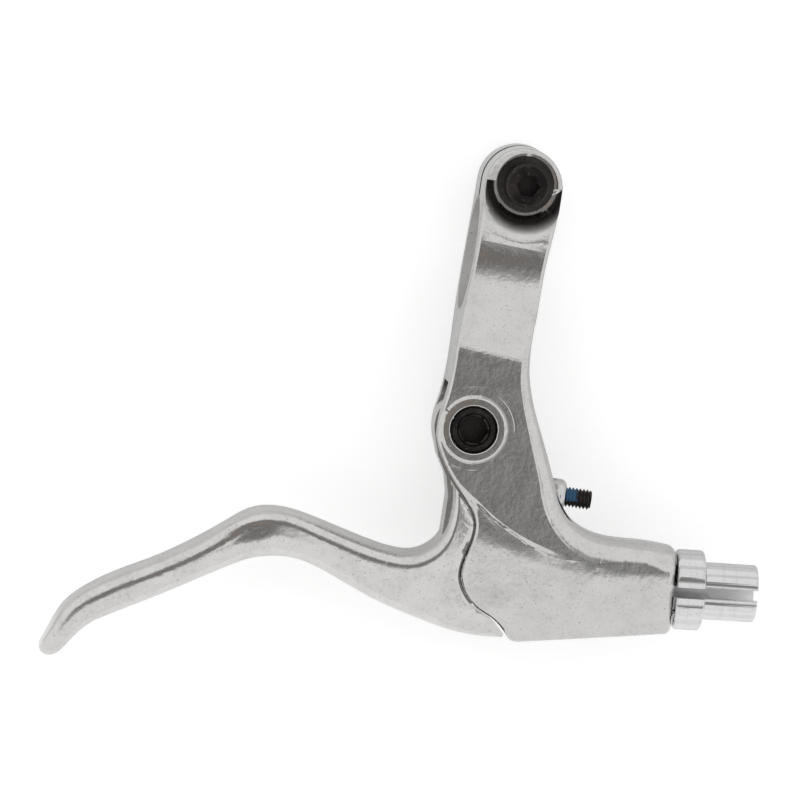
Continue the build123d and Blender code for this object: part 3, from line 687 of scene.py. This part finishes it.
def oxide_metal(name, colour, roughness):
    """Black oxide on steel: dark, faintly brown, with lighter rubbed spots."""
    made, tree, shader, place = material(name)
    skin = use(tree, tumbled, place, Ripple_Scale=1600.0, Grain_Scale=6500.0)
    marks = use(tree, scuffed, place, Amount=0.6)
    warm = tuple(part * factor for part, factor in zip(colour, WARMTH))
    surface = blend_colours(tree, skin["Clouds"], colour, warm)
    surface = blend_colours(tree, calc(tree, "MULTIPLY", skin["Pits"], 0.35), surface, RUBBED_COLOUR)
    surface = blend_colours(tree, calc(tree, "MULTIPLY", marks["Mask"], 0.5), surface, SCRATCH_COLOUR)
    link(tree, surface, shader.inputs["Base Color"])
    link(tree, plus_share(tree, roughness, skin["Clouds"], 0.16), shader.inputs["Roughness"])
    bumped(tree, shader, skin["Height"], 0.00002)
    return made


black_oxide = oxide_metal("black_oxide", OXIDE_COLOUR, 0.32)
clamp_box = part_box("clamp_bolt")
clamp_middle = (clamp_box[0] + clamp_box[1]) / 2
clamp_bolt = dressed("clamp_bolt", "clamp_screw")
cut_thread(
    clamp_bolt, radius=0.0025, pitch=0.0008, length=0.0145,
    origin=(clamp_middle.x, clamp_middle.y, clamp_box[0].z - THREAD_RUN_OUT), along=(0, 0, 1),
)
washer = dressed("clamp_washer", "clamp_screw_washer", edge=0.00012)
clamp_bolt.data.materials.append(black_oxide)
washer.data.materials.append(oxide_metal("worn_black_oxide", WORN_OXIDE_COLOUR, 0.42))

# Pivot
# A black shouldered pin with a countersunk hexagon socket, held by a thin nut in the lower boss. The
# blade turns on two flanged bushes of grey acetal, pressed into its eye.
ACETAL_COLOUR = (0.085, 0.085, 0.09)
ACETAL_CLOUD_COLOUR = (0.11, 0.108, 0.105)
pivot_bolt = dressed("pivot_bolt", "pivot_pin")
pivot_nut = dressed("pivot_nut", "pivot_pin_nut", edge=0.00015)
for piece in (pivot_bolt, pivot_nut):
    piece.data.materials.append(black_oxide)
acetal, tree, shader, place = material("grey_acetal", metallic=0.0)
skin = use(tree, tumbled, place, Ripple_Scale=900.0, Grain_Scale=5200.0)
surface = blend_colours(tree, skin["Clouds"], ACETAL_COLOUR, ACETAL_CLOUD_COLOUR)
link(tree, surface, shader.inputs["Base Color"])
link(tree, plus_share(tree, 0.42, skin["Clouds"], 0.12), shader.inputs["Roughness"])
bumped(tree, shader, skin["Height"], 0.000012)
for node, name in (("pivot_bush_upper", "upper_bush"), ("pivot_bush_lower", "lower_bush")):
    bush = dressed(node, name, edge=0.0001)
    bush.data.materials.append(acetal)

# Reach screw
# An M4 set screw with black oxide and a blue thread-lock patch on its first threads. Its inner end
# stops the blade's tongue.
BROWN_OXIDE_COLOURS = ((0.03, 0.026, 0.025), (0.055, 0.046, 0.042))
PATCH_COLOUR = (0.028, 0.095, 0.19)
PATCH_END = (0.0208, 0.0214)
PATCH_EDGE = (-0.0004, 0.0002)
PATCH_WANDER = 0.0016
reach_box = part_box("reach_screw")
reach_middle = (reach_box[0] + reach_box[1]) / 2
reach_screw = dressed("reach_screw", "reach_set_screw")
cut_thread(
    reach_screw, radius=0.002, pitch=0.0007, length=reach_box[1].x - reach_box[0].x + 2 * THREAD_RUN_OUT,
    origin=(reach_box[0].x - THREAD_RUN_OUT, reach_middle.y, reach_middle.z), along=(1, 0, 0),
)
patched, tree, shader, place = material("black_oxide_with_thread_lock")
skin = use(tree, tumbled, place, Ripple_Scale=1500.0, Grain_Scale=5200.0)
spot = axes(tree, place)
uneven = calc(tree, "MULTIPLY", calc(tree, "SUBTRACT", skin["Height"], 0.5), PATCH_WANDER)
inward = calc(tree, "ADD", spot["X"], uneven)
upward = calc(tree, "MULTIPLY", calc(tree, "SUBTRACT", spot["Y"], reach_middle.y), 0.9)
upward = calc(tree, "ADD", plus_share(tree, upward, spot["Z"], 0.25), uneven)
patch = calc(tree, "MULTIPLY", fade(tree, inward, *PATCH_END), between(tree, upward, *PATCH_EDGE))
oxide = blend_colours(tree, skin["Clouds"], *BROWN_OXIDE_COLOURS)
link(tree, blend_colours(tree, patch, oxide, PATCH_COLOUR), shader.inputs["Base Color"])
link(tree, plus_share(tree, 1.0, patch, -0.9), shader.inputs["Metallic"])
link(tree, plus_share(tree, 0.36, patch, 0.2), shader.inputs["Roughness"])
bumped(tree, shader, skin["Height"], 0.00003)
reach_screw.data.materials.append(patched)

# Lock ring and adjuster
# Both are turned from aluminium bar, scalloped or fluted for the fingers, slotted for the cable and
# polished. The adjuster screws into the boss, and the ring locks it there.
CABLE_ANGLE = math.radians(4.7)
BOSS_FACE = Vector((0.04253, -0.05966, 0))
THREAD_DEPTH_IN_BOSS = 0.0135
SOCKET_WALL = (0.0036, 0.0044)
CLEAN_COLOUR = (0.7, 0.7, 0.7)
SHADED_COLOUR = (0.63, 0.63, 0.632)
PIT_COLOUR = (0.4, 0.38, 0.36)
# Painted light: a near white colour that brightens the inside of the cable socket
SOCKET_PAINTED_LIGHT_COLOUR = (0.92, 0.92, 0.92)
cable_line = Vector((math.cos(CABLE_ANGLE), math.sin(CABLE_ANGLE), 0))

# Turning marks: fine rings round the cable's line as a height, and broader ones as a shade
turning, start, end = group("turning_marks", {"Fineness": 5200.0}, ["Height", "Shade"])
along_cable = axes(turning, stretch(turning, start["Place"], rotation=(0, 0, -CABLE_ANGLE)))["X"]
rings = noise(turning, along_cable, start["Fineness"], detail=2.0, roughness=0.6, kind="1D")
link(turning, rings, end["Height"])
bands = noise(turning, along_cable, 900.0, detail=1.0, kind="1D")
link(turning, between(turning, bands, 0.58, 0.72), end["Shade"])

turned_metal, tree, shader, place = material("turned_aluminium")
lines = use(tree, turning, place)
skin = use(tree, tumbled, place, Ripple_Scale=1300.0, Grain_Scale=5000.0)
marks = use(tree, scuffed, place, Amount=0.6)
shade = calc(tree, "MULTIPLY", calc(tree, "ADD", lines["Shade"], skin["Clouds"]), 0.5)
# Painted light inside the cable socket: within its wall round the cable's line the metal is painted near
# white, and it is also made rougher
from_face = stretch(tree, place, location=-BOSS_FACE)
from_cable = away_from(tree, stretch(tree, from_face, rotation=(0, 0, -CABLE_ANGLE)), flat=(0, 1, 1))
inside = fade(tree, from_cable, *SOCKET_WALL)
surface = blend_colours(tree, shade, CLEAN_COLOUR, SHADED_COLOUR)
surface = blend_colours(tree, calc(tree, "MULTIPLY", skin["Pits"], 0.4), surface, PIT_COLOUR)
surface = blend_colours(tree, inside, surface, SOCKET_PAINTED_LIGHT_COLOUR)
link(tree, surface, shader.inputs["Base Color"])
rough = plus_share(tree, 0.13, shade, 0.08)
rough = plus_share(tree, rough, marks["Mask"], 0.2)
link(tree, plus_share(tree, rough, inside, 0.4), shader.inputs["Roughness"])
height = calc(tree, "MULTIPLY", lines["Height"], 0.35)
bumped(tree, shader, plus_share(tree, height, skin["Height"], 0.65), 0.000014)

lock_ring = dressed("lock_ring", "adjuster_lock_ring", edge=0.0001)
adjuster = dressed("barrel_adjuster", "cable_adjuster")
cut_thread(
    adjuster, radius=0.005, pitch=0.001, length=0.0195,
    origin=BOSS_FACE - cable_line * THREAD_DEPTH_IN_BOSS, along=cable_line,
)
for piece in (lock_ring, adjuster):
    piece.data.materials.append(turned_metal)
